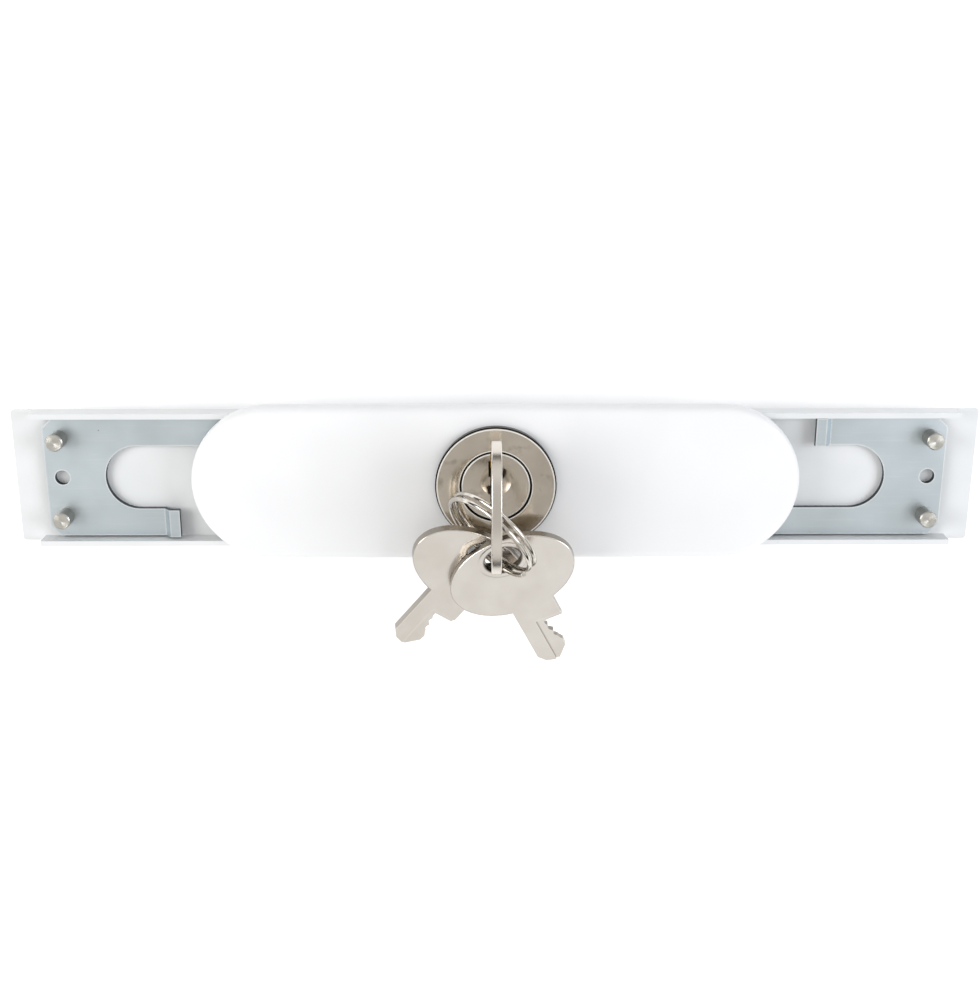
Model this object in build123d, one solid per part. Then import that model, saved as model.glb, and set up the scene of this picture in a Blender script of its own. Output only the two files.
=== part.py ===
from build123d import *
from math import acos, cos, pi, radians, sin, sqrt, tan
import os

# Roller shutter lock with two sliding fork plates, a key cylinder and its bunch of keys.
# Frame: +X along the lock, +Y towards the upper flange, +Z out of the front face.
# The origin lies on the cylinder axis, in the plane of the channel's back face. Millimetres.

edge_tol = 0.01

# Channel: a web with two flanges that stop short of its ends
web_length = 200.0
web_height = 28.4
web_wall = 1.4
web_corner = 0.6
fold_r = 0.88
flange_length = 190.4
flange_wall = 1.1
flange_front = 5.4

# Fork plates
plate_gap = 0.1
plate_wall = 1.25
plate_side_gap = 0.4
plate_end = 93.5
plate_chamfer = 2.1
slot_half = 6.8
slot_end = 81.1
short_arm_end = 66.0
joggle_start = 69.3
joggle_run = 1.2
lap_gap = 0.1
long_arm_reach = 40.0
peep_hole_r = 1.55

# Studs that carry the locking bars
stud_x = 90.1
stud_y = 8.4
stud_r = 1.8
stud_height = 3.8
stud_neck_r = 1.4
stud_chamfer = 0.2

# Rack and pinion
module = 0.8
tooth_count = 22
pressure_angle = 20.0
tooth_backlash = 0.12
root_gap = 0.25
rack_inner = 8.5
rack_outer = 23.0
rack_end_step = 0.4
pinion_gap = 0.05
pinion_key_r = 6.0
pinion_key_half = 5.2

# Cover
cover_length = 125.0
cover_height = 32.6
cover_front = 8.0
cover_wall = 1.2
cover_edge_r = 1.5
cover_land_gap = 0.2
boss_x = 56.0
boss_r = 3.5

# Collar, its sleeve and nut
collar_r = 12.4
collar_thickness = 1.7
collar_chamfer = 0.35
sleeve_r = 9.0
sleeve_flat_half = 8.3
sleeve_gap = 0.1
sleeve_clear = 0.1
nut_across_flats = 21.4
nut_thickness = 1.8
nut_gap = 0.02

# Plug and what turns with it
plug_r = 7.1
plug_gap = 0.06
plug_chamfer = 0.3
dish_r = 3.15
dish_depth = 0.8
dish_y = 1.2
journal_r = 5.1
journal_gap = 0.06
journal_flat_half = 4.5
keyed_gap = 0.03
tail_depth = 3.6
front_slot_depth = 1.2
washer_r = 6.8
washer_thickness = 0.7
lug_r = 8.5
lug_half_angle = 10.0
clip_r = 6.6
clip_thickness = 0.5
groove_depth = 0.6
groove_play = 0.05
clip_mouth_half = 3.4

# Wafer tumblers
wafer_count = 4
wafer_pitch = 1.35
wafer_first = 1.5
wafer_thickness = 0.75
wafer_half_width = 2.7
wafer_top = 6.5
wafer_gap = 0.06
wafer_tab = 1.1
wafer_tab_height = 1.0
spring_r = 0.35
spring_bore_r = 0.2
spring_length = 3.0
locking_groove_depth = 1.0
locking_groove_gap = 0.2
wafer_tab_root = 0.1
wafer_window_gap = 0.1

# Stops in the rear cap
cap_r = 10.2
cap_wall = 1.0
cap_edge_r = 0.6
cap_depth = 5.2
ear_x = 14.0
ear_r = 3.4
ear_thickness = 1.2
stop_inner_r = 7.0
turn_angle = 90.0
stop_margin = 4.0

# Guide plate and its posts
guide_gap = 0.1
guide_wall = 0.8
guide_half_length = 30.0
guide_side_gap = 0.8
guide_corner_r = 2.0
guide_hole_gap = 0.3
post_x = 24.0
post_r = 3.0
post_tenon_r = 1.6
post_head_r = 2.4
post_head_height = 0.6
post_head_edge_r = 0.36
tenon_gap = 0.02

# Screws and fixing holes
cover_screw_r = 1.5
screw_hole_gap = 0.2
screw_hole_over = 0.2
cover_screw_head_r = 2.8
cover_screw_head = 1.5
cover_screw_length = 6.4
cap_screw_r = 1.0
cap_screw_head_r = 2.0
cap_screw_head = 1.1
recess_width = 0.6
recess_depth = 0.7
recess_share = 1.2
pan_share = 0.45
thread_gap = 0.02
fixing_hole_x = 40.0
fixing_hole_r = 2.1

# Keys
key_wall = 2.0
bow_half_width = 13.4
bow_half_height = 8.9
bow_edge_r = 0.25
key_hole_offset = 4.5
key_hole_half_width = 3.9
key_hole_half_height = 2.9
blade_back = 3.8
blade_width = 6.6
shoulder_reach = 5.3
shoulder_offset = 13.3
blade_length = 10.1
mill_line = -0.4
mill_depth = 0.6
mill_start = 0.9
back_groove_near = 2.6
back_groove_far = 1.4
blade_gap = 0.12
key_seat_gap = 0.1
key_centre_y = -0.3
# Tip and cuts as pairs: distance in from the blade's edge, distance back from the tip
tip_back = [(0, 2.4), (1.3, 0.8), (4.1, 0)]
tip_cuts = [(0.1, 2.5), (0, 4.0), (0.5, 4.7), (0.7, 5.3), (1.2, 5.8), (1.2, 6.4), (0.9, 6.9),
            (1.7, 7.6), (1.7, 8.2), (1.4, 8.7), (1.8, 9.2), (1.8, 9.7)]

# Split ring: two turns of round wire
ring_radius = 10.1
ring_wire = 1.0
ring_pitch = 1.45
ring_turns = 2
ring_start = 25.0
ring_sample = 5
ring_centre = (-1.02, -6.75, 19.48)
ring_long_axis = (0.5454, -0.8150, -0.1959)
ring_depth_axis = (0.5129, 0.1396, 0.8470)

# Spare keys: hole centre, direction of the blade, and the way their front faces look
front_key_hole = (1.37, -13.63, 14.37)
front_key_blade = (0.4308, -0.8776, -0.2101)
front_key_face = (0.0092, -0.2286, 0.9735)
rear_key_hole = (-2.50, -13.78, 11.63)
rear_key_blade = (-0.6179, -0.7683, -0.1671)
rear_key_face = (0.1245, -0.3055, 0.9440)

# Levels and radii that follow from the sizes above
plate_back = web_wall + plate_gap
plate_front = plate_back + plate_wall
plate_half = web_height / 2 - flange_wall - plate_side_gap
joggle_rise = plate_wall + lap_gap
pitch_r = module * tooth_count / 2
tooth_tip_r = pitch_r + module
tooth_root_r = pitch_r - module - root_gap
rack_tip_y = pitch_r - module
rack_root_y = pitch_r + module + root_gap
plate_travel = pitch_r * radians(turn_angle)
pinion_front = plate_front
plug_shoulder = pinion_front + pinion_gap
collar_front = cover_front + collar_thickness
sleeve_back = plug_shoulder + sleeve_clear
nut_front = cover_front - cover_wall
guide_back = plate_front + guide_gap
guide_height = web_height - 2 * (flange_wall + guide_side_gap)
plug_bore_r = plug_r + plug_gap
web_bore_r = journal_r + journal_gap
keyway_half = key_wall / 2 + blade_gap
bow_centre_z = collar_front + key_seat_gap + shoulder_offset
key_hole_z = bow_centre_z + key_hole_offset
blade_cut = blade_width - blade_back
keyway_top = key_centre_y + blade_back + blade_gap
keyway_bottom = key_centre_y - blade_cut - blade_gap
wafer_levels = [collar_front - wafer_first - i * wafer_pitch for i in range(wafer_count)]


def slab(width, height, z_low, z_high, x=0.0, y=0.0):
    """A box centred on x and y, between two levels."""
    return Pos(x, y, (z_low + z_high) / 2) * Box(width, height, z_high - z_low)


def disc(radius, z_low, z_high, x=0.0, y=0.0):
    """A cylinder along Z between two levels."""
    return Pos(x, y, (z_low + z_high) / 2) * Cylinder(radius, z_high - z_low)


def prism(points, z_low, z_high):
    """A straight prism over a closed outline of points."""
    face = make_face(Polyline(*points, close=True))
    return Pos(0, 0, z_low) * extrude(face, z_high - z_low)


def flatted(radius, half, z_low, z_high):
    """A cylinder with two flats that face along X."""
    return disc(radius, z_low, z_high) & slab(2 * half, 3 * radius, z_low, z_high)


def make_channel():
    """Folded and painted steel channel, longer in the web than in the flanges."""
    web = slab(web_length, web_height, 0, web_wall)
    web = fillet(web.edges().filter_by(Axis.Z), web_corner)
    flange_y = web_height / 2 - flange_wall / 2
    body = web
    for side in (1, -1):
        body += slab(flange_length, flange_wall, 0, flange_front, 0, side * flange_y)
    folds = [e for e in body.edges().filter_by(Axis.X) if e.center().Z < edge_tol]
    body = fillet([e for e in folds if abs(e.center().X) < 1], fold_r)
    body -= disc(web_bore_r, -1, web_wall + 1)
    for side in (1, -1):
        body -= disc(cover_screw_r + screw_hole_gap, -1, web_wall + 1, side * boss_x)
        body -= disc(post_tenon_r + tenon_gap, -1, web_wall + 1, side * post_x)
        body -= disc(cap_screw_r + thread_gap, -1, web_wall + 1, side * ear_x)
        body -= disc(fixing_hole_r, -1, web_wall + 1, side * fixing_hole_x)
    return body


def make_cover():
    """Painted stadium cover that lies on the front edges of the flanges."""
    ends_r = cover_height / 2
    outline = SlotOverall(cover_length, cover_height)
    body = Pos(0, 0, flange_front) * extrude(outline, cover_front - flange_front)
    rim = [e for e in body.edges() if e.center().Z > cover_front - edge_tol]
    body = fillet(rim, cover_edge_r)
    land = web_height / 2 - flange_wall - cover_land_gap
    hollow_length = cover_length - 2 * (ends_r - land)
    hollow = extrude(SlotOverall(hollow_length, 2 * land), cover_front - cover_wall - flange_front)
    body -= Pos(0, 0, flange_front) * hollow
    body -= flatted(sleeve_r + sleeve_gap, sleeve_flat_half + sleeve_gap, 0, cover_front + 1)
    for side in (1, -1):
        body += disc(boss_r, web_wall, cover_front - cover_wall, side * boss_x)
        depth = cover_screw_length + screw_hole_over
        body -= disc(cover_screw_r + thread_gap, web_wall - 1, depth, side * boss_x)
    return body


def make_collar():
    """Collar ring on the cover, with the sleeve that the plug turns in."""
    ring = disc(collar_r, cover_front, collar_front)
    ring = chamfer([e for e in ring.edges() if e.center().Z > collar_front - edge_tol], collar_chamfer)
    body = ring + flatted(sleeve_r, sleeve_flat_half, sleeve_back, cover_front)
    body -= disc(plug_bore_r, 0, collar_front + 1)
    body -= Pos(0, 0, collar_front - plug_chamfer / 2) * Cone(
        plug_bore_r, plug_bore_r + plug_chamfer, plug_chamfer)
    groove_low = wafer_levels[-1] - wafer_thickness
    groove_high = wafer_levels[0] + wafer_thickness
    reach = 2 * (plug_bore_r + locking_groove_depth)
    return body - slab(2 * (wafer_half_width + locking_groove_gap), reach, groove_low, groove_high)


def make_collar_nut():
    """Thin hexagonal nut that draws the collar down on the cover."""
    hexagon = RegularPolygon(nut_across_flats / 2, 6, major_radius=False)
    body = Pos(0, 0, nut_front - nut_thickness) * extrude(hexagon, nut_thickness)
    return body - flatted(sleeve_r + nut_gap, sleeve_flat_half + nut_gap, 0, cover_front)


def make_plug():
    """Turning plug: face with keyway and dish, wafer slots, drive flats and tail."""
    head = disc(plug_r, plug_shoulder, collar_front)
    head = chamfer([e for e in head.edges() if e.center().Z > collar_front - edge_tol], plug_chamfer)
    drive = flatted(pinion_key_r - keyed_gap, pinion_key_half - keyed_gap, plate_back, plug_shoulder)
    journal = disc(journal_r, 0, plate_back)
    tail = flatted(journal_r, journal_flat_half, -tail_depth, 0)
    body = head + drive + journal + tail
    ball_r = (dish_r ** 2 + dish_depth ** 2) / (2 * dish_depth)
    body -= Pos(0, dish_y, collar_front - dish_depth + ball_r) * Sphere(ball_r)
    keyway_height = keyway_top - keyway_bottom
    keyway_y = (keyway_top + keyway_bottom) / 2
    body -= slab(2 * keyway_half, keyway_height, -tail_depth - 1, collar_front + 1, 0, keyway_y)
    slot_height = plug_r - keyway_bottom
    body -= slab(2 * keyway_half, slot_height, collar_front - front_slot_depth, collar_front + 1,
                 0, keyway_bottom + slot_height / 2)
    half = wafer_thickness / 2 + wafer_gap
    for level in wafer_levels:
        body -= slab(2 * (wafer_half_width + wafer_gap), 3 * plug_r, level - half, level + half)
        tab_x = wafer_half_width + wafer_tab / 2
        pocket = spring_length + wafer_tab_height + 4 * wafer_gap
        body -= slab(wafer_tab + 4 * wafer_gap, pocket, level - half, level + half,
                     tab_x, wafer_tab_height + 2 * wafer_gap - pocket / 2)
    clip_top = -plug_gap - washer_thickness - groove_play
    groove = disc(journal_r + 1, clip_top - clip_thickness - groove_play, clip_top)
    groove -= disc(journal_r - groove_depth, -tail_depth, 0)
    return body - groove


def make_wafers():
    """Brass wafers, each with a window for the blade and a tab for its spring."""
    group = []
    for level in wafer_levels:
        low, high = level - wafer_thickness / 2, level + wafer_thickness / 2
        plate = slab(2 * wafer_half_width, 2 * wafer_top, low, high) & disc(wafer_top, low, high)
        plate += slab(wafer_tab + wafer_tab_root, wafer_tab_height, low, high,
                      wafer_half_width + (wafer_tab - wafer_tab_root) / 2, wafer_tab_height / 2)
        window = keyway_top - keyway_bottom
        centre = (keyway_top + keyway_bottom) / 2
        group.append(plate - slab(2 * (keyway_half + wafer_window_gap), window,
                                  low - 1, high + 1, 0, centre))
    return group


def make_wafer_springs():
    """Small springs below the wafer tabs, as plain sleeves of their outer size."""
    sleeve = Cylinder(spring_r, spring_length) - Cylinder(spring_bore_r, spring_length + 1)
    x = wafer_half_width + wafer_tab / 2
    y = -wafer_gap - spring_length / 2
    return [Pos(x, y, level) * Rot(90, 0, 0) * sleeve for level in wafer_levels]


def involute_flank(base_r, low_r, high_r, steps=5):
    """Radius and polar angle along an involute, from low_r to high_r."""
    flank = []
    for i in range(steps):
        r = low_r + (high_r - low_r) * i / (steps - 1)
        lift = sqrt(max(r * r / base_r ** 2 - 1, 0))
        flank.append((r, lift - acos(min(base_r / r, 1))))
    return flank


def make_pinion():
    """Spur ring keyed on the plug, in mesh with both racks."""
    base_r = pitch_r * cos(radians(pressure_angle))
    at_pitch = tan(radians(pressure_angle)) - radians(pressure_angle)
    half = pi / (2 * tooth_count) - tooth_backlash / (4 * pitch_r)
    flank = involute_flank(base_r, max(base_r, tooth_root_r), tooth_tip_r)
    points = []
    for k in range(tooth_count):
        centre = pi / 2 + 2 * pi * k / tooth_count
        low = [(r, centre - half - at_pitch + a) for r, a in flank]
        high = [(r, centre + half + at_pitch - a) for r, a in reversed(flank)]
        root = [(tooth_root_r, low[0][1])]
        tooth = root + low + high + [(tooth_root_r, high[-1][1])]
        points += [(r * cos(a), r * sin(a)) for r, a in tooth]
    body = prism(points, plate_back, pinion_front)
    return body - flatted(pinion_key_r, pinion_key_half, 0, cover_front)


def rack_edge():
    """Toothed inner edge of the long arm as points, from the plate's end to its reach."""
    pitch = pi * module
    slope = tan(radians(pressure_angle))
    half = pitch / 4 - tooth_backlash / 4
    tip_half = half - module * slope
    root_half = half + (module + root_gap) * slope
    points = []
    first = -int(rack_outer / pitch)
    last = int(rack_inner / pitch)
    for k in range(first, last):
        x = (k + 0.5) * pitch
        points += [(x - root_half, rack_root_y), (x - tip_half, rack_tip_y),
                   (x + tip_half, rack_tip_y), (x + root_half, rack_root_y)]
    return points


def make_left_slide():
    """Left fork plate: long toothed arm above, short joggled arm below."""
    teeth = rack_edge()
    step_x = teeth[0][0] - rack_end_step
    outline = [(-plate_end, -plate_half + plate_chamfer), (-plate_end, plate_half - plate_chamfer),
               (-plate_end + plate_chamfer, plate_half), (long_arm_reach, plate_half),
               (long_arm_reach, rack_root_y)]
    outline += list(reversed(teeth))
    outline += [(step_x, rack_root_y), (step_x, slot_half), (-joggle_start, slot_half),
                (-joggle_start, -slot_half), (-joggle_start, -plate_half),
                (-plate_end + plate_chamfer, -plate_half)]
    body = prism(outline, plate_back, plate_front)
    slot_centre = -slot_end + slot_half
    body -= disc(slot_half, 0, cover_front, slot_centre)
    body -= slab(-slot_centre, 2 * slot_half, 0, cover_front, slot_centre / 2)
    tip = [(-joggle_start, plate_back), (-joggle_start + joggle_run, plate_back + joggle_rise),
           (-short_arm_end, plate_back + joggle_rise), (-short_arm_end, plate_front + joggle_rise),
           (-joggle_start + joggle_run, plate_front + joggle_rise), (-joggle_start, plate_front)]
    side = Plane(origin=(0, -slot_half, 0), x_dir=(1, 0, 0), z_dir=(0, -1, 0))
    face = make_face(Polyline(*tip, close=True))
    body += extrude(side * face, plate_half - slot_half)
    body -= disc(peep_hole_r, 0, cover_front, -stud_x)
    for y in (stud_y, -stud_y):
        body -= disc(stud_neck_r + tenon_gap, 0, cover_front, -stud_x, y)
    return body


def make_left_studs():
    """Two studs riveted in the outer end of the left plate."""
    group = []
    for y in (stud_y, -stud_y):
        head = disc(stud_r, plate_front, plate_front + stud_height, -stud_x, y)
        rim = [e for e in head.edges() if e.center().Z > plate_front + stud_height - edge_tol]
        head = chamfer(rim, stud_chamfer)
        group.append(head + disc(stud_neck_r, plate_back, plate_front, -stud_x, y))
    return group


def make_stop_washer():
    """Flatted washer behind the web, whose lug meets the stops in the cap."""
    low, high = -plug_gap - washer_thickness, -plug_gap
    start, end = radians(90 - lug_half_angle), radians(90 + lug_half_angle)
    lug = prism([(0, 0), (lug_r * cos(start), lug_r * sin(start)),
                 (lug_r * cos(end), lug_r * sin(end))], low, high)
    body = disc(washer_r, low, high) + lug
    return body - flatted(journal_r + keyed_gap, journal_flat_half + keyed_gap, low - 1, high + 1)


def make_plug_clip():
    """Open retaining clip in the groove of the plug's tail."""
    high = -plug_gap - washer_thickness - 1.5 * groove_play
    low = high - clip_thickness + groove_play
    body = disc(clip_r, low, high) - disc(journal_r - groove_depth + tenon_gap, low - 1, high + 1)
    mouth = slab(2 * clip_mouth_half, clip_r + 1, low - 1, high + 1, 0, -(clip_r + 1) / 2)
    return body - mouth


def make_rear_cap():
    """Cap over the plug's tail, with two ears and the stops for a quarter turn."""
    body = disc(cap_r, -cap_depth, 0)
    body = fillet([e for e in body.edges() if e.center().Z < -cap_depth + edge_tol], cap_edge_r)
    for side in (1, -1):
        ear = slab(ear_x, 2 * ear_r, -ear_thickness, 0, side * ear_x / 2)
        body += ear + disc(ear_r, -ear_thickness, 0, side * ear_x)
    body -= disc(cap_r - cap_wall, -cap_depth + cap_wall, 1)
    stop_back = -plug_gap - washer_thickness - plug_gap
    ring = disc(cap_r - cap_wall, stop_back, 0) - disc(stop_inner_r, stop_back - 1, 1)
    first = 90 - turn_angle - lug_half_angle - stop_margin
    last = 90 + lug_half_angle + stop_margin
    reach = 2 * cap_r
    steps = 6
    fan = [(0, 0)]
    for i in range(steps + 1):
        angle = radians(first + (last - first) * i / steps)
        fan.append((reach * cos(angle), reach * sin(angle)))
    body += ring - prism(fan, stop_back - 1, 1)
    for side in (1, -1):
        body -= disc(cap_screw_r + screw_hole_gap, -ear_thickness - 1, 1, side * ear_x)
    return body


def pan_screw(radius, head_r, head, length, seat, x):
    """Pan-head screw with a cross recess, driven from behind, seated at level seat."""
    top = disc(head_r, seat - head, seat, x)
    rim = [e for e in top.edges() if e.center().Z < seat - head + edge_tol]
    body = fillet(rim, head * pan_share) + disc(radius, seat - head / 2, seat + length, x)
    for width, height in ((recess_width, head_r * recess_share), (head_r * recess_share, recess_width)):
        body -= slab(width, height, seat - head - 1, seat - head + recess_depth, x)
    return body


def make_cap_screws():
    """Two screws through the cap's ears into the web."""
    length = ear_thickness + web_wall
    return [pan_screw(cap_screw_r, cap_screw_head_r, cap_screw_head, length, -ear_thickness,
                      side * ear_x) for side in (1, -1)]


def make_cover_screws():
    """Two screws through the web into the bosses of the cover."""
    return [pan_screw(cover_screw_r, cover_screw_head_r, cover_screw_head, cover_screw_length, 0,
                      side * boss_x) for side in (1, -1)]


def make_guide_plate():
    """Sheet steel plate that keeps the long arms down on the web."""
    body = slab(2 * guide_half_length, guide_height, guide_back, guide_back + guide_wall)
    body = fillet(body.edges().filter_by(Axis.Z), guide_corner_r)
    body -= disc(sleeve_r + guide_hole_gap, 0, cover_front)
    for side in (1, -1):
        body -= disc(post_tenon_r + tenon_gap, 0, cover_front, side * post_x)
    return body


def make_guide_posts():
    """Shouldered rivets that hold the guide plate above the web."""
    group = []
    head_low = guide_back + guide_wall
    for side in (1, -1):
        x = side * post_x
        post = disc(post_r, web_wall, guide_back, x)
        post += disc(post_tenon_r, 0, head_low, x)
        head = disc(post_head_r, head_low, head_low + post_head_height, x)
        rim = [e for e in head.edges() if e.center().Z > head_low + post_head_height - edge_tol]
        group.append(post + fillet(rim, post_head_edge_r))
    return group


def key_outline():
    """Edge of the blade, from its back round the tip to the shoulder, hole centre at 0, 0."""
    start = key_hole_offset
    stop = key_hole_offset + shoulder_offset
    tip = stop + blade_length
    back = [(-blade_back, start)] + [(-blade_back + x, tip - y) for x, y in tip_back]
    cuts = [(blade_cut - x, tip - y) for x, y in tip_cuts]
    last_cut = blade_cut - tip_cuts[-1][0]
    return back + cuts + [(last_cut, stop), (shoulder_reach, stop), (shoulder_reach, start)]


def key_shape():
    """Flat key: oval bow with an oval hole, blade milled on its -Z face and cut on its +X edge."""
    low, high = -key_wall / 2, key_wall / 2
    bow = Pos(0, key_hole_offset, low) * extrude(Ellipse(bow_half_width, bow_half_height), key_wall)
    bow = fillet(bow.edges(), bow_edge_r)
    hole = Pos(0, 0, low - 1) * extrude(
        Ellipse(key_hole_half_width, key_hole_half_height), key_wall + 2)
    body = bow + prism(key_outline(), low, high)
    body -= hole
    stop = key_hole_offset + shoulder_offset
    length = blade_length + 2 * mill_start
    middle = stop - mill_start + length / 2
    body -= slab(blade_width, length, low - 1, low + mill_depth, mill_line + blade_width / 2, middle)
    groove = back_groove_near - back_groove_far
    body -= slab(groove, length, high - mill_depth, high + 1,
                 -(back_groove_near + back_groove_far) / 2, middle)
    return body


def key_at(hole, blade, face):
    """The key with its hole at a point, its blade and its milled face in given directions."""
    along = Vector(*blade).normalized()
    out = Vector(*face)
    out = (out - along * out.dot(along)).normalized()
    return Plane(origin=hole, x_dir=out.cross(along), z_dir=-out).location * key_shape()


def make_inserted_key():
    """Key in the plug, its cuts towards -Y."""
    return key_at((0, key_centre_y, key_hole_z), (0, 0, -1), (-1, 0, 0))


def ring_point(angle):
    """Point and unit tangent of the coil's centre line, angle in degrees from its start."""
    turn = radians(ring_start + angle)
    rise = ring_pitch * (angle / 360 - ring_turns / 2)
    point = Vector(ring_radius * cos(turn), ring_radius * sin(turn), rise)
    tangent = Vector(-ring_radius * sin(turn), ring_radius * cos(turn), ring_pitch / (2 * pi))
    return point, tangent.normalized()


def biarc(p0, t0, p1, t1):
    """Two arcs from p0 to p1 that share a tangent and keep the end directions t0 and t1."""
    v = p1 - p0
    t = t0 + t1
    vt = v.dot(t)
    one = 2 * (1 - t0.dot(t1))
    d = (-vt + sqrt(vt * vt + one * v.dot(v))) / one
    joint = (p0 + p1 + (t0 - t1) * d) * 0.5
    return [TangentArc(p0, joint, tangent=t0), TangentArc(p1, joint, tangent=-t1)]


def ring_least_gap():
    """Least free distance between points of the wire that are over half a turn apart."""
    samples = [ring_point(a)[0] for a in range(0, 360 * ring_turns + 1, ring_sample)]
    least = ring_radius
    for i, a in enumerate(samples):
        for b in samples[i + 180 // ring_sample:]:
            least = min(least, (a - b).length - ring_wire)
    return least


def make_split_ring():
    """Two-turn coil of round wire, one unbroken tube on biarcs of a quarter turn."""
    edges = []
    first, start = ring_point(0)
    edges.append(Line(first - start * ring_wire, first))
    steps = 4 * ring_turns
    for i in range(steps):
        p0, t0 = ring_point(i * 90)
        p1, t1 = ring_point((i + 1) * 90)
        edges += biarc(p0, t0, p1, t1)
    last, end = ring_point(steps * 90)
    edges.append(Line(last, last + end * ring_wire))
    path = Wire(edges)
    section = Plane(origin=path @ 0, z_dir=path % 0) * Circle(ring_wire / 2)
    coil = sweep(section, path=path)
    long_axis = Vector(*ring_long_axis).normalized()
    depth_axis = Vector(*ring_depth_axis)
    normal = long_axis.cross(depth_axis)
    return Plane(origin=ring_centre, x_dir=long_axis, z_dir=normal).location * coil


def save(name, shapes):
    """Writes one node as a STEP file."""
    if isinstance(shapes, list):
        shapes = Compound(children=[s.solid() for s in shapes])
    export_step(shapes, os.path.join("parts", name + ".step"))


def main():
    os.makedirs("parts", exist_ok=True)
    half_turn = Rot(0, 0, 180)
    left_slide = make_left_slide()
    left_studs = make_left_studs()
    save("channel", make_channel())
    save("cover", make_cover())
    save("collar", make_collar())
    save("collar_nut", make_collar_nut())
    save("plug", make_plug())
    save("wafers", make_wafers())
    save("wafer_springs", make_wafer_springs())
    save("pinion", make_pinion())
    save("stop_washer", make_stop_washer())
    save("plug_clip", make_plug_clip())
    save("rear_cap", make_rear_cap())
    save("cap_screws", make_cap_screws())
    save("cover_screws", make_cover_screws())
    save("guide_plate", make_guide_plate())
    save("guide_posts", make_guide_posts())
    save("left_slide", left_slide)
    save("right_slide", half_turn * left_slide)
    save("left_studs", left_studs)
    save("right_studs", [half_turn * s for s in left_studs])
    save("inserted_key", make_inserted_key())
    save("front_spare_key", key_at(front_key_hole, front_key_blade, front_key_face))
    save("rear_spare_key", key_at(rear_key_hole, rear_key_blade, rear_key_face))
    save("split_ring", make_split_ring())
    print("plate travel", round(plate_travel, 3), "split ring least gap", round(ring_least_gap(), 3))


main()
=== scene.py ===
import math
import bpy
from mathutils import Matrix, Vector


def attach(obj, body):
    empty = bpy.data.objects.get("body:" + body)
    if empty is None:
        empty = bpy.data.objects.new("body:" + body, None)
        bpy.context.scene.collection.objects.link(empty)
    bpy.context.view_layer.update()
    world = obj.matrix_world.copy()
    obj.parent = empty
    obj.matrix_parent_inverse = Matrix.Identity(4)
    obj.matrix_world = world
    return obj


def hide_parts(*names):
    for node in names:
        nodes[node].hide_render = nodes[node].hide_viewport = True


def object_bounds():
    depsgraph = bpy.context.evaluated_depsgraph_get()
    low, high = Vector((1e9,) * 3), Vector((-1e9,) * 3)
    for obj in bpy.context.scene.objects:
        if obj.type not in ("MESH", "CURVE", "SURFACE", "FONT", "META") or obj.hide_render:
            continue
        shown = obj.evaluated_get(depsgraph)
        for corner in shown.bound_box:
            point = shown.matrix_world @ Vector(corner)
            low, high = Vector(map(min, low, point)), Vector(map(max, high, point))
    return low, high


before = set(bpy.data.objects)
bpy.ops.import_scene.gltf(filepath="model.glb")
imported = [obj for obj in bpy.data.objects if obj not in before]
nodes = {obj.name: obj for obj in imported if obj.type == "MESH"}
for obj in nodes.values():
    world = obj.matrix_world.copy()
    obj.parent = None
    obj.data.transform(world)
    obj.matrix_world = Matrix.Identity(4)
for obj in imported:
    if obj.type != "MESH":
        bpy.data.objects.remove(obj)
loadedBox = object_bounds()
millimetre = 0.001
print("stage: frame loaded")


def linearColour(code):
    channels = [int(code[i:i + 2], 16) / 255 for i in (1, 3, 5)]
    curved = [c / 12.92 if c <= 0.04045 else ((c + 0.055) / 1.055) ** 2.4 for c in channels]
    return (*curved, 1.0)


def addNode(tree, kind, inputs, out=0, stops=(), **settings):
    # one node with its settings and links; gives back the output asked for
    node = tree.nodes.new("ShaderNode" + kind)
    for key, value in settings.items():
        setattr(node, key, value)
    for i, (place, code) in enumerate(stops):
        stop = node.color_ramp.elements[i] if i < 2 else node.color_ramp.elements.new(place)
        stop.position, stop.color = place, linearColour(code)
    for key, value in inputs.items():
        if isinstance(value, bpy.types.NodeSocket):
            tree.links.new(value, node.inputs[key])
        else:
            node.inputs[key].default_value = value
    return node.outputs[out] if len(node.outputs) else node


def startMaterial(name):
    # the point is the place in the object's frame, in millimetres
    material = bpy.data.materials.new(name)
    material.use_nodes = True
    tree = material.node_tree
    tree.nodes.clear()
    place = addNode(tree, "TexCoord", {}, out="Object")
    point = addNode(tree, "VectorMath", {0: place, 3: 1 / millimetre}, operation="SCALE")
    return material, tree, point


def finishMaterial(tree, colour, roughness, metallic, bumps=(), extra=()):
    # bumps are pairs of a height and its depth in millimetres
    inputs = {"Base Color": colour, "Roughness": roughness, "Metallic": metallic}
    for height, depth in bumps:
        relief = {"Height": height, "Distance": depth * millimetre, "Strength": 1.0}
        if "Normal" in inputs:
            relief["Normal"] = inputs["Normal"]
        inputs["Normal"] = addNode(tree, "Bump", relief)
    inputs.update(extra)
    addNode(tree, "OutputMaterial", {"Surface": addNode(tree, "BsdfPrincipled", inputs)})


def clouded(tree, point, look, patch=None):
    # the tone between shade and colour that a soft cloud gives, and the roughness that it or a
    # finer patch gives
    cloud = addNode(tree, "TexNoise", {"Vector": point, **look["cloud"]})
    low, high = look["tones"]
    tone = addNode(tree, "ValToRGB", {"Fac": cloud},
                   stops=[(low, look["shade"]), (high, look["colour"])])
    least, more = look["roughness"]
    rough = addNode(tree, "Math", {0: cloud if patch is None else patch, 1: more, 2: least},
                    operation="MULTIPLY_ADD")
    return tone, rough


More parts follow.
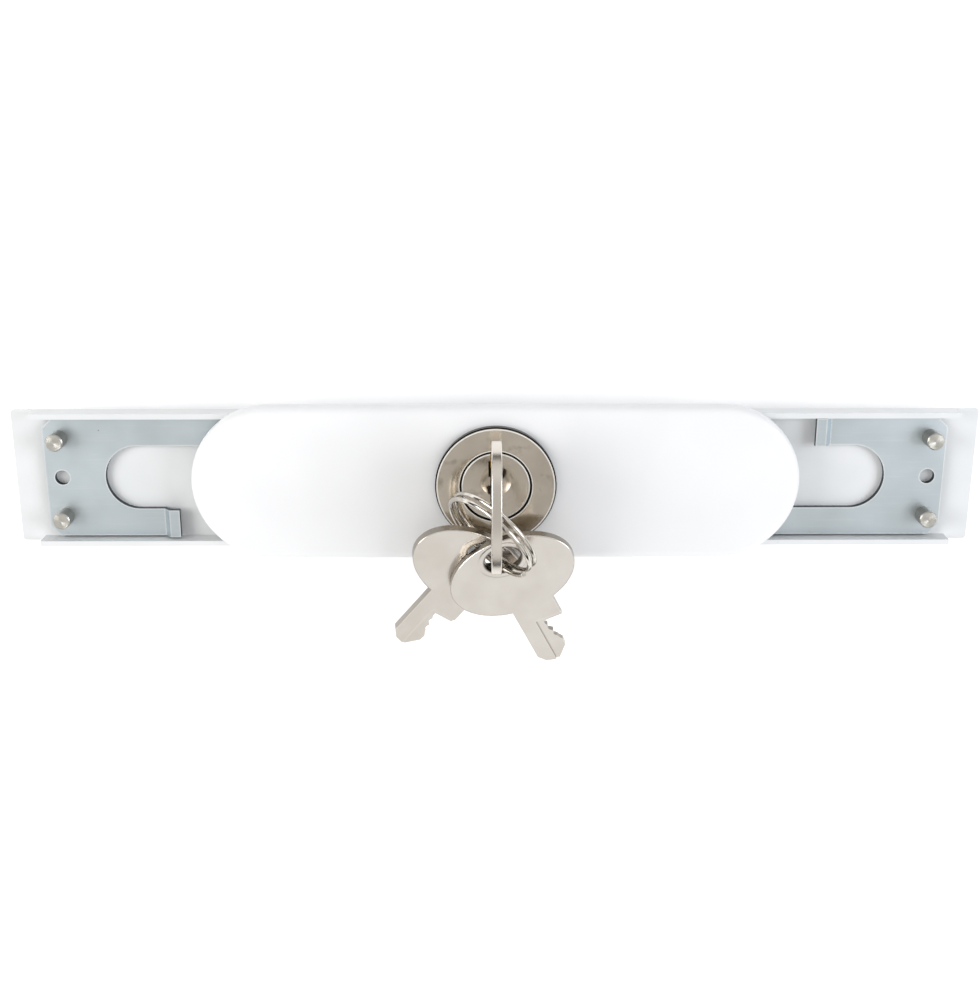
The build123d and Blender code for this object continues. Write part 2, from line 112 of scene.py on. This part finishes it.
def edgeMask(tree, radius, fade, full):
    # 1 on edges and 0 on flats, from how far a bevelled normal leans off the true one; fade and
    # full are the cosines at which it starts and ends
    bevelled = addNode(tree, "Bevel", {"Radius": radius * millimetre}, samples=4)
    unbevelled = addNode(tree, "NewGeometry", {}, out="Normal")
    agree = addNode(tree, "VectorMath", {0: bevelled, 1: unbevelled}, out="Value",
                    operation="DOT_PRODUCT")
    return addNode(tree, "MapRange", {"Value": agree, "From Min": fade, "From Max": full})


def uprightMask(tree):
    # 1 on upright faces and 0 on faces that lie flat in the lock
    facing = addNode(tree, "NewGeometry", {}, out="True Normal")
    level = addNode(tree, "Math", {0: addNode(tree, "SeparateXYZ", {0: facing}, out="Z")},
                    operation="ABSOLUTE")
    return addNode(tree, "MapRange", {"Value": level, "From Min": 0.6, "From Max": 0.3})


def bandMask(tree, value, low, high, fade):
    # 1 where the value lies between low and high
    away = addNode(tree, "Math", {0: value, 1: (low + high) / 2}, operation="SUBTRACT")
    away = addNode(tree, "Math", {0: away}, operation="ABSOLUTE")
    half = (high - low) / 2
    return addNode(tree, "MapRange", {"Value": away, "From Min": half + fade,
                                      "From Max": half - fade})


def assign(material, *names):
    for name in names:
        for slot in nodes[name].material_slots:
            slot.material = material


# in every look: a Scale is 1 over the pattern's size in millimetres, and depths are in millimetres;
# tones are where the shade ends and the colour starts on the cloud; roughness is the least of it,
# and what the noise adds

channelCoat = {
    "colour": "#EEEFEF", "shade": "#E8EAEA", "tones": (0.35, 0.65), "roughness": (0.22, 0.25),
    "cloud": {"Scale": 1 / 14, "Detail": 2.0}, "patch": {"Scale": 1 / 3, "Detail": 3.0},
    "peel": {"Scale": 1 / 0.7, "Detail": 2.0}, "peelDepth": 0.012,
    "sheen": {"Coat Weight": 0.15, "Coat Roughness": 0.2}}


def powderCoat():
    # electrostatic powder coat on folded steel: white, fine orange peel, soft broad sheen
    material, tree, point = startMaterial("whitePowderCoatOnFoldedSteel")
    patch = addNode(tree, "TexNoise", {"Vector": point, **channelCoat["patch"]})
    peel = addNode(tree, "TexNoise", {"Vector": point, **channelCoat["peel"]})
    tone, rough = clouded(tree, point, channelCoat, patch)
    finishMaterial(tree, tone, rough, metallic=0.0, bumps=[(peel, channelCoat["peelDepth"])],
                   extra=channelCoat["sheen"])
    return material


coverPaint = {
    "colour": "#FBFBFB", "shade": "#F7F7F7", "tones": (0.35, 0.65), "roughness": (0.32, 0.2),
    "cloud": {"Scale": 1 / 22, "Detail": 2.0}, "patch": {"Scale": 1 / 4, "Detail": 3.0},
    "grain": {"Scale": 1 / 1.1, "Detail": 2.0}, "grainDepth": 0.005}


def satinPaint():
    # satin paint on die-cast zinc: a smooth white skin with hardly any texture
    material, tree, point = startMaterial("whiteSatinPaintOnDieCastZinc")
    patch = addNode(tree, "TexNoise", {"Vector": point, **coverPaint["patch"]})
    grain = addNode(tree, "TexNoise", {"Vector": point, **coverPaint["grain"]})
    tone, rough = clouded(tree, point, coverPaint, patch)
    finishMaterial(tree, tone, rough, metallic=0.0, bumps=[(grain, coverPaint["grainDepth"])])
    return material


lockFront = {  # places are in millimetres from the plug's axis: low, high, and how far each fades
    "colour": "#CDC4B6", "shade": "#BEB5A7", "tones": (0.3, 0.65), "roughness": (0.1, 0.12),
    "cloud": {"Scale": 1 / 7, "Detail": 4.0, "Roughness": 0.55},
    "lathe": {"Scale": 1 / 0.12, "Detail": 2.0}, "latheDepth": 0.0012,
    "stain": "#8E8674", "stains": {"Scale": 1 / 3.2, "Detail": 4.0},
    "stained": {"From Min": 0.58, "From Max": 0.72, "To Max": 0.5},
    # bright and the highlight rings paint highlights on the chamfers of plug and collar, made
    # rougher and less metallic there
    "bright": "#FAF7F1", "highlightRough": 0.3, "highlightMetal": -0.5,
    "highlightRings": ((6.74, 6.98, 0.05), (7.44, 7.60, 0.05), (11.86, 12.1, 0.05)),
    # the dark colour on these rings, the dish and the keyway is painted shade: in the joint of plug
    # and collar, round the collar's outer edge, in the top of the dish and beside the key
    "paintedShade": "#16130F", "shadeRings": ((7.04, 7.40, 0.05), (12.16, 12.6, 0.05)),
    "keywayAcross": (-1.5, -0.9, 0.04), "keywayUp": (1.9, 5.4, 0.1),
    "dishRing": (2.35, 3.05, 0.5), "dishUp": (0.4, 3.2, 0.8), "dishShade": 0.55}


def nickelPlate():
    # bright nickel plate on turned brass: a warm grey mirror with faint turning rings and brownish
    # stains; painted highlight rings on the chamfers of plug and collar, and painted shade in the
    # joint, round the collar's outer edge, in the top of the dish and beside the keyway
    material, tree, point = startMaterial("nickelPlateOnTurnedBrass")
    tone, rough = clouded(tree, point, lockFront)
    flat = addNode(tree, "VectorMath", {0: point, 1: (1.0, 1.0, 0.0)}, operation="MULTIPLY")
    radius = addNode(tree, "VectorMath", {0: flat}, out="Value", operation="LENGTH")
    across, up = (addNode(tree, "SeparateXYZ", {0: point}, out=axis) for axis in "XY")
    spread = addNode(tree, "CombineXYZ", {"X": radius})
    lathe = addNode(tree, "TexNoise", {"Vector": spread, **lockFront["lathe"]})
    stain = addNode(tree, "TexNoise", {"Vector": point, **lockFront["stains"]})
    stain = addNode(tree, "MapRange", {"Value": stain, **lockFront["stained"]})
    # painted shade in the top of the dish
    dish = addNode(tree, "Math", {0: bandMask(tree, radius, *lockFront["dishRing"]),
                                  1: bandMask(tree, up, *lockFront["dishUp"])},
                   operation="MULTIPLY")
    dish = addNode(tree, "Math", {0: dish, 1: lockFront["dishShade"]}, operation="MULTIPLY")
    # painted shadow beside the key, where the keyway shows as a dark slit
    keyway = addNode(tree, "Math", {0: bandMask(tree, across, *lockFront["keywayAcross"]),
                                    1: bandMask(tree, up, *lockFront["keywayUp"])},
                     operation="MULTIPLY")
    layers, metallic = [(stain, "stain"), (dish, "paintedShade")], 1.0
    # painted highlight rings on the chamfers, rougher and less metallic
    for ring in lockFront["highlightRings"]:
        highlighted = bandMask(tree, radius, *ring)
        layers.append((highlighted, "bright"))
        rough = addNode(tree, "Math", {0: highlighted, 1: lockFront["highlightRough"], 2: rough},
                        operation="MULTIPLY_ADD")
        metallic = addNode(tree, "Math", {0: highlighted, 1: lockFront["highlightMetal"], 2: metallic},
                           operation="MULTIPLY_ADD")
    # painted shade in the joint and round the collar's outer edge
    layers += [(bandMask(tree, radius, *ring), "paintedShade") for ring in lockFront["shadeRings"]]
    for mask, code in layers + [(keyway, "paintedShade")]:
        tone = addNode(tree, "Mix", {0: mask, 6: tone, 7: linearColour(lockFront[code])}, out=2,
                       data_type="RGBA")
    finishMaterial(tree, tone, rough, metallic, bumps=[(lathe, lockFront["latheDepth"])])
    return material


# holeHalf is half the ring hole across and along the key, in millimetres; rim and the painted
# shade's reach count with the hole's edge at 1; wear is a bevel in millimetres and two cosines, and
# so is the zinc's edge highlight below; the scratches are coarser than real, so that they show
keyMetal = {
    "colour": "#E6E1DA", "shade": "#DDD7CF", "tones": (0.3, 0.7), "roughness": (0.18, 0.12),
    "cloud": {"Scale": 1 / 6, "Detail": 2.0}, "edge": "#F7F4EE", "wear": (0.25, 0.98, 0.78),
    "scratch": {"Scale": 1 / 0.3, "Detail": 3.0}, "scratchDepth": 0.0012,
    "scratchWays": ((1.0, 0.12, 1.0), (0.12, 1.0, 1.0)),
    "holeHalf": (3.9, 2.9), "rim": {"From Min": 1.3, "From Max": 1.38}, "rimDepth": 0.1,
    "holeShade": "#6B635A", "holeShadeReach": {"From Min": 1.12, "From Max": 1.02},
    "punched": {"From Min": 0.75, "From Max": 0.4}}
# the hole's centre in millimetres, the ways of the blade and of the milled face, and the colour of
# the painted shade on the punched sides, darker on the hanging spares
keyPlaces = {
    "inserted_key": ((0, -0.3, 27.6), (0, 0, -1), (-1, 0, 0), "#D5CEC5"),
    "front_spare_key": ((1.37, -13.63, 14.37), (0.4308, -0.8776, -0.2101),
                        (0.0092, -0.2286, 0.9735), "#A59E95"),
    "rear_spare_key": ((-2.50, -13.78, 11.63), (-0.6179, -0.7683, -0.1671),
                       (0.1245, -0.3055, 0.9440), "#A59E95"),
}


def tumbledNickel(name):
    # key blanks punched from nickel silver, barrel-tumbled and plated: soft warm sheen, fine
    # scratches, bright rounded edges, painted shade on the punched sides, and a pressed rim and a
    # ring of painted shade round the ring hole
    material, tree, point = startMaterial("tumbledNickelOn" + name.title().replace("_", ""))
    hole, blade, face = (Vector(v) for v in keyPlaces[name][:3])
    blade.normalize()
    face = (face - blade * face.dot(blade)).normalized()
    tone, rough = clouded(tree, point, keyMetal)
    away = addNode(tree, "VectorMath", {0: point, 1: hole}, operation="SUBTRACT")
    across, along = (addNode(tree, "VectorMath", {0: away, 1: axis / half}, out="Value",
                             operation="DOT_PRODUCT")
                     for axis, half in zip((face.cross(blade), blade), keyMetal["holeHalf"]))
    oval = addNode(tree, "CombineXYZ", {"X": across, "Y": along})
    oval = addNode(tree, "VectorMath", {0: oval}, out="Value", operation="LENGTH")
    rim = addNode(tree, "MapRange", {"Value": oval, **keyMetal["rim"]})
    # painted shade in a ring round the hole
    holeShade = addNode(tree, "MapRange", {"Value": oval, **keyMetal["holeShadeReach"]})
    facing = addNode(tree, "TexCoord", {}, out="Normal")
    facing = addNode(tree, "VectorMath", {0: facing, 1: face}, out="Value", operation="DOT_PRODUCT")
    facing = addNode(tree, "Math", {0: facing}, operation="ABSOLUTE")
    # painted shade on the punched sides, which face away from the light
    sides = addNode(tree, "MapRange", {"Value": facing, **keyMetal["punched"]})
    worn = edgeMask(tree, *keyMetal["wear"])
    for mask, code in ((sides, keyPlaces[name][3]), (worn, keyMetal["edge"]),
                       (holeShade, keyMetal["holeShade"])):
        tone = addNode(tree, "Mix", {0: mask, 6: tone, 7: linearColour(code)}, out=2,
                       data_type="RGBA")
    bumps = [(rim, keyMetal["rimDepth"])]
    for squeeze in keyMetal["scratchWays"]:  # two crossing sets of long fine scratches
        drawn = addNode(tree, "VectorMath", {0: point, 1: squeeze}, operation="MULTIPLY")
        scratch = addNode(tree, "TexNoise", {"Vector": drawn, **keyMetal["scratch"]})
        bumps.append((scratch, keyMetal["scratchDepth"]))
    finishMaterial(tree, tone, rough, metallic=1.0, bumps=bumps)
    return material


zincPlate = {
    "colour": "#CAD3D7", "shade": "#C5CED2", "tones": (0.3, 0.7), "roughness": (0.31, 0.15),
    # the dark side colour is painted shade on the cut sides; bright is also a painted highlight
    # along the cut edges
    "cloud": {"Scale": 1 / 9, "Detail": 2.0}, "sideShade": "#4A5056",
    "bright": "#F4F6F7", "burrHighlight": (0.5, 0.998, 0.92),
    "rolled": {"Scale": 1 / 0.5, "Detail": 4.0}, "rolledDepth": 0.002,  # coarser than real too
    "rolledWay": (0.05, 1.0, 1.0),
    "streaks": {"From Min": 0.55, "From Max": 0.8, "To Max": 0.15},
    "speck": "#68737A", "specks": {"Scale": 1 / 1.4, "Detail": 2.0},
    "speckled": {"From Min": 0.76, "From Max": 0.8, "To Max": 0.8}}


def zincSheet():
    # cold-rolled sheet with blue-passivated zinc: bluish grey satin, rolling lines along the sheet,
    # painted shade on the cut sides with a painted highlight along their edges, and a few dark
    # specks
    material, tree, point = startMaterial("bluePassivatedZincOnRolledSheet")
    tone, rough = clouded(tree, point, zincPlate)
    drawn = addNode(tree, "VectorMath", {0: point, 1: zincPlate["rolledWay"]}, operation="MULTIPLY")
    rolled = addNode(tree, "TexNoise", {"Vector": drawn, **zincPlate["rolled"]})
    streak = addNode(tree, "MapRange", {"Value": rolled, **zincPlate["streaks"]})
    speck = addNode(tree, "TexNoise", {"Vector": point, **zincPlate["specks"]})
    speck = addNode(tree, "MapRange", {"Value": speck, **zincPlate["speckled"]})
    # painted highlight along the cut edges, and painted shade on the cut sides
    burrHighlight = edgeMask(tree, *zincPlate["burrHighlight"])
    for mask, code in ((streak, "bright"), (speck, "speck"), (burrHighlight, "bright"),
                       (uprightMask(tree), "sideShade")):
        tone = addNode(tree, "Mix", {0: mask, 6: tone, 7: linearColour(zincPlate[code])}, out=2,
                       data_type="RGBA")
    finishMaterial(tree, tone, rough, metallic=1.0, bumps=[(rolled, zincPlate["rolledDepth"])])
    return material


# centre is where the studs stand to either side of the lock's middle, pip the radius of the lathe's
# pip, feed the width of one turning mark, all in millimetres
stud = {
    "colour": "#C7C5BE", "shade": "#B8B6AE", "side": "#8F8D87", "tones": (0.3, 0.7),
    "roughness": (0.24, 0.12), "cloud": {"Scale": 1 / 1.6, "Detail": 2.0},
    "centre": (90.1, 8.4, 0.0), "feed": 0.16, "feedDepth": 0.006, "pip": 0.8, "pipDepth": 0.05}


def turnedSteel():
    # free-cutting steel off the lathe: feed marks round each end face with a small centre pip,
    # painted shade on the sides
    material, tree, point = startMaterial("turnedFreeCuttingSteel")
    tone, rough = clouded(tree, point, stud)
    mirrored = addNode(tree, "VectorMath", {0: point}, operation="ABSOLUTE")
    flat = addNode(tree, "VectorMath", {0: mirrored, 1: (1.0, 1.0, 0.0)}, operation="MULTIPLY")
    away = addNode(tree, "VectorMath", {0: flat, 1: stud["centre"]}, out="Value",
                   operation="DISTANCE")
    turns = addNode(tree, "Math", {0: away, 1: 2 * math.pi / stud["feed"]}, operation="MULTIPLY")
    turns = addNode(tree, "Math", {0: turns}, operation="SINE")
    pip = addNode(tree, "MapRange", {"Value": away, "From Max": stud["pip"]})
    # painted shade on the studs' sides
    tone = addNode(tree, "Mix", {0: uprightMask(tree), 6: tone, 7: linearColour(stud["side"])},
                   out=2, data_type="RGBA")
    finishMaterial(tree, tone, rough, metallic=1.0,
                   bumps=[(turns, stud["feedDepth"]), (pip, stud["pipDepth"])])
    return material


hidden = {  # sizes and depths in millimetres
    "zincPlatedHeadedScrewSteel": {
        "colour": "#A8ADAF", "shade": "#8D9395", "roughness": (0.21, 0.3), "metallic": 1.0,
        "cloudSize": 3.0, "grain": 0.6, "grainDepth": 0.006},
    "oilBluedSpringSteelWire": {
        "colour": "#5B5E66", "shade": "#43464D", "roughness": (0.17, 0.3), "metallic": 1.0,
        "cloudSize": 2.0, "grain": 0.4, "grainDepth": 0.003},
    "punchedBrassStrip": {
        "colour": "#C9A45A", "shade": "#A9853F", "roughness": (0.12, 0.3), "metallic": 1.0,
        "cloudSize": 2.5, "grain": 0.5, "grainDepth": 0.004},
    "oiledSinteredIron": {
        "colour": "#6B6762", "shade": "#4D4A46", "roughness": (0.4, 0.3), "metallic": 1.0,
        "cloudSize": 1.25, "grain": 0.25, "grainDepth": 0.015},
    "injectionMouldedBlackAcetal": {
        "colour": "#232324", "shade": "#1A1A1B", "roughness": (0.27, 0.3), "metallic": 0.0,
        "cloudSize": 1.5, "grain": 0.3, "grainDepth": 0.01},
}


def hiddenFinish(name):
    # pieces behind the cover: each keeps its metal's or plastic's colour, with a fine grain of its
    # own
    look = {**hidden[name], "tones": (0.3, 0.65)}
    look["cloud"] = {"Scale": 1 / look["cloudSize"], "Detail": 3.0}
    material, tree, point = startMaterial(name)
    grain = addNode(tree, "TexNoise", {"Vector": point, "Scale": 1 / look["grain"], "Detail": 4.0,
                                       "Roughness": 0.6})
    tone, rough = clouded(tree, point, look, grain)
    finishMaterial(tree, tone, rough, look["metallic"], bumps=[(grain, look["grainDepth"])])
    return material


assign(powderCoat(), "channel")
assign(satinPaint(), "cover")
assign(nickelPlate(), "collar", "plug")
for keyName in keyPlaces:
    assign(tumbledNickel(keyName), keyName)
assign(zincSheet(), "left_slide", "right_slide", "guide_plate", "stop_washer", "collar_nut")
assign(turnedSteel(), "left_studs", "right_studs", "guide_posts")
assign(hiddenFinish("zincPlatedHeadedScrewSteel"), "cap_screws", "cover_screws")
assign(hiddenFinish("oilBluedSpringSteelWire"), "wafer_springs", "plug_clip")
assign(hiddenFinish("punchedBrassStrip"), "wafers")
assign(hiddenFinish("oiledSinteredIron"), "pinion")
assign(hiddenFinish("injectionMouldedBlackAcetal"), "rear_cap")
print("stage: finishes assigned")

splitRing = {  # millimetres and degrees; hard-drawn wire coiled twice round, its ends ground square
    "centre": (-1.02, -6.75, 19.48), "longAxis": (0.5454, -0.8150, -0.1959),
    "depthAxis": (0.5129, 0.1396, 0.8470), "radius": 10.1, "wire": 1.0, "pitch": 1.45, "turns": 2,
    "start": 25.0, "step": 4.0, "sides": 20, "lead": 1.0, "endBreak": 0.08, "endSize": 0.86,
    "colour": "#D9D4CC", "shade": "#B7B0A6", "tones": (0.3, 0.6), "roughness": (0.06, 0.14),
    "cloud": {"Scale": 1 / 1.6, "Detail": 3.0},
    "drawing": {"Scale": 1 / 0.15, "Detail": 3.0}, "drawingDepth": 0.0015}


def brightWire():
    # nickel-plated spring wire: bright, with drawing marks and light rubbing
    material, tree, point = startMaterial("nickelPlatedSpringWire")
    tone, rough = clouded(tree, point, splitRing)
    drawing = addNode(tree, "TexNoise", {"Vector": point, **splitRing["drawing"]})
    finishMaterial(tree, tone, rough, metallic=1.0, bumps=[(drawing, splitRing["drawingDepth"])])
    return material


def ringLoops():
    # each loop of the tube: its middle, its outward way and its size
    along = Vector(splitRing["longAxis"]).normalized()
    normal = along.cross(Vector(splitRing["depthAxis"])).normalized()
    deep = normal.cross(along)
    turns = splitRing["turns"]
    steps = round(360 * turns / splitRing["step"])
    loops = []
    for i in range(steps + 1):
        turned = turns * i / steps
        angle = math.radians(splitRing["start"] + 360 * turned)
        out = along * math.cos(angle) + deep * math.sin(angle)
        rise = normal * splitRing["pitch"] * (turned - turns / 2)
        loops.append((Vector(splitRing["centre"]) + out * splitRing["radius"] + rise, out, 1.0))
    for end, near in ((loops[0], loops[1]), (loops[-1], loops[-2])):
        way = (end[0] - near[0]).normalized()
        shoulder = (end[0] + way * (splitRing["lead"] - splitRing["endBreak"]), end[1], 1.0)
        face = (end[0] + way * splitRing["lead"], end[1], splitRing["endSize"])
        loops = [face, shoulder] + loops if end is loops[0] else loops + [shoulder, face]
    return loops


def makeSplitRing():
    loops, sides = ringLoops(), splitRing["sides"]
    verts, faces = [], []
    for i, (middle, out, size) in enumerate(loops):
        way = (loops[min(i + 1, len(loops) - 1)][0] - loops[max(i - 1, 0)][0]).normalized()
        out = (out - way * out.dot(way)).normalized()
        side = way.cross(out)
        for k in range(sides):
            angle = 2 * math.pi * k / sides
            spoke = (out * math.cos(angle) + side * math.sin(angle)) * size * splitRing["wire"] / 2
            verts.append((middle + spoke) * millimetre)
            if i:
                before, here, after = (i - 1) * sides, i * sides, (k + 1) % sides
                faces.append((before + k, before + after, here + after, here + k))
    faces.append(tuple(reversed(range(sides))))
    faces.append(tuple(range(len(verts) - sides, len(verts))))
    mesh = bpy.data.meshes.new("coiledSplitRing")
    mesh.from_pydata(verts, [], faces)
    for face in mesh.polygons:
        face.use_smooth = len(face.vertices) == 4
    mesh.materials.append(brightWire())
    item = bpy.data.objects.new("coiledSplitRing", mesh)
    bpy.context.scene.collection.objects.link(item)
    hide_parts("split_ring")
    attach(item, "ring")


makeSplitRing()
print("stage: split ring coiled")

viewpoint = {  # the lens in millimetres, the rest in metres, and the three axes of the camera
    "focal": 50.37, "sensor": 36.0, "nearest": 0.01, "place": (-0.002858, 0.082269, 0.276823),
    "right": (0.99998, 0.00008, 0.00622), "up": (0.00177, 0.95489, -0.29697),
    "back": (-0.00596, 0.29697, 0.95487)}
cameraData = bpy.data.cameras.new("camera")
cameraData.lens = viewpoint["focal"]
cameraData.sensor_width = viewpoint["sensor"]
cameraData.clip_start = viewpoint["nearest"]
camera = bpy.data.objects.new("camera", cameraData)
bpy.context.scene.collection.objects.link(camera)
axes = Matrix((viewpoint["right"], viewpoint["up"], viewpoint["back"])).transposed().to_4x4()
camera.matrix_world = Matrix.Translation(viewpoint["place"]) @ axes
bpy.context.scene.camera = camera
print("stage: camera placed")

sweep = {  # half is in metres; near and far are millimetres from the lock, and the glow there
    "half": 1.0, "colour": "#FFFFFF", "shade": "#FDFDFD", "roughness": 0.9,
    "fibre": {"Scale": 1 / 30, "Detail": 3.0}, "near": (200.0, 0.27), "far": (700.0, 0.42)}


def mattPaper():
    # white matt paper: no gloss; it glows a little for the eye and in the metal, more where the
    # lamps don't reach, and keeps its shadow
    material, tree, point = startMaterial("whiteMattPaper")
    fibre = addNode(tree, "TexNoise", {"Vector": point, **sweep["fibre"]})
    tone = addNode(tree, "ValToRGB", {"Fac": fibre},
                   stops=[(0.0, sweep["shade"]), (1.0, sweep["colour"])])
    byEye = addNode(tree, "LightPath", {}, out="Is Camera Ray")
    inGloss = addNode(tree, "LightPath", {}, out="Is Glossy Ray")
    seen = addNode(tree, "Math", {0: byEye, 1: inGloss}, operation="MAXIMUM")
    (near, nearGlow), (far, farGlow) = sweep["near"], sweep["far"]
    away = addNode(tree, "VectorMath", {0: point}, out="Value", operation="LENGTH")
    glow = addNode(tree, "MapRange", {"Value": away, "From Min": near, "From Max": far,
                                      "To Min": nearGlow, "To Max": farGlow})
    glow = addNode(tree, "Math", {0: seen, 1: glow}, operation="MULTIPLY")
    finishMaterial(tree, tone, sweep["roughness"], metallic=0.0, extra={
        "Specular IOR Level": 0.0, "Emission Color": linearColour(sweep["colour"]),
        "Emission Strength": glow})
    return material


corners = [(x * sweep["half"], y * sweep["half"], 0)
           for x, y in ((-1, -1), (1, -1), (1, 1), (-1, 1))]
floorMesh = bpy.data.meshes.new("floor")
floorMesh.from_pydata(corners, [], [(0, 1, 2, 3)])
floorMesh.materials.append(mattPaper())
floor = bpy.data.objects.new("floor", floorMesh)
floor.location.z = loadedBox[0][2]
bpy.context.scene.collection.objects.link(floor)

lamps = {  # metres and watts
    "leftBox": {"place": (-0.37, 0.08, 0.27), "size": 0.24, "power": 0.95, "tint": "#FFFFFF"},
    "rightBox": {"place": (0.37, 0.06, 0.27), "size": 0.24, "power": 0.9, "tint": "#F3F7FF"},
}
for name, lamp in lamps.items():
    data = bpy.data.lights.new(name, "AREA")
    data.shape = "SQUARE"
    data.size = lamp["size"]
    data.energy = lamp["power"]
    data.color = linearColour(lamp["tint"])[:3]
    item = bpy.data.objects.new(name, data)
    item.location = lamp["place"]
    item.rotation_euler = Vector(lamp["place"]).to_track_quat("Z", "Y").to_euler()
    bpy.context.scene.collection.objects.link(item)

room = {  # how strongly the room shows on each; the bands go from straight down to straight up
    "onPaint": 0.6, "lean": -0.4, "inMetal": 0.95, "seen": 1.0, "paintLight": "#FFFFFF",
    "bands": [(0.0, "#8A8682"), (0.46, "#5A5653"), (0.5, "#312D2A"), (0.58, "#34302D"),
              (0.66, "#F1EFEC"), (0.87, "#FFFFFF"), (0.95, "#DCDBD9")]}
world = bpy.data.worlds.new("studio")
world.use_nodes = True
bpy.context.scene.world = world
worldTree = world.node_tree
worldTree.nodes.clear()
# metal sees a bright ceiling above a dark band low down; paint and paper get plain white light,
# stronger from the side where the keys hang; the eye sees white
heading = addNode(worldTree, "TexCoord", {}, out="Generated")
height = addNode(worldTree, "SeparateXYZ", {0: heading}, out="Z")
height = addNode(worldTree, "MapRange", {"Value": height, "From Min": -1.0})
depth = addNode(worldTree, "SeparateXYZ", {0: heading}, out="Y")
painted = addNode(worldTree, "Math", {0: depth, 1: room["lean"], 2: room["onPaint"]},
                  operation="MULTIPLY_ADD")
bands = addNode(worldTree, "ValToRGB", {"Fac": height}, stops=room["bands"])
inMetal = addNode(worldTree, "LightPath", {}, out="Is Glossy Ray")
seen = addNode(worldTree, "LightPath", {}, out="Is Camera Ray")
shown = addNode(worldTree, "Mix", {0: inMetal, 6: linearColour(room["paintLight"]), 7: bands},
                out=2, data_type="RGBA")
level = addNode(worldTree, "Mix", {0: inMetal, 2: painted, 3: room["inMetal"]})
level = addNode(worldTree, "Mix", {0: seen, 2: level, 3: room["seen"]})
light = addNode(worldTree, "Background", {"Color": shown, "Strength": level})
addNode(worldTree, "OutputWorld", {"Surface": light})
bpy.context.scene.view_settings.view_transform = "Standard"
print("stage: light set")
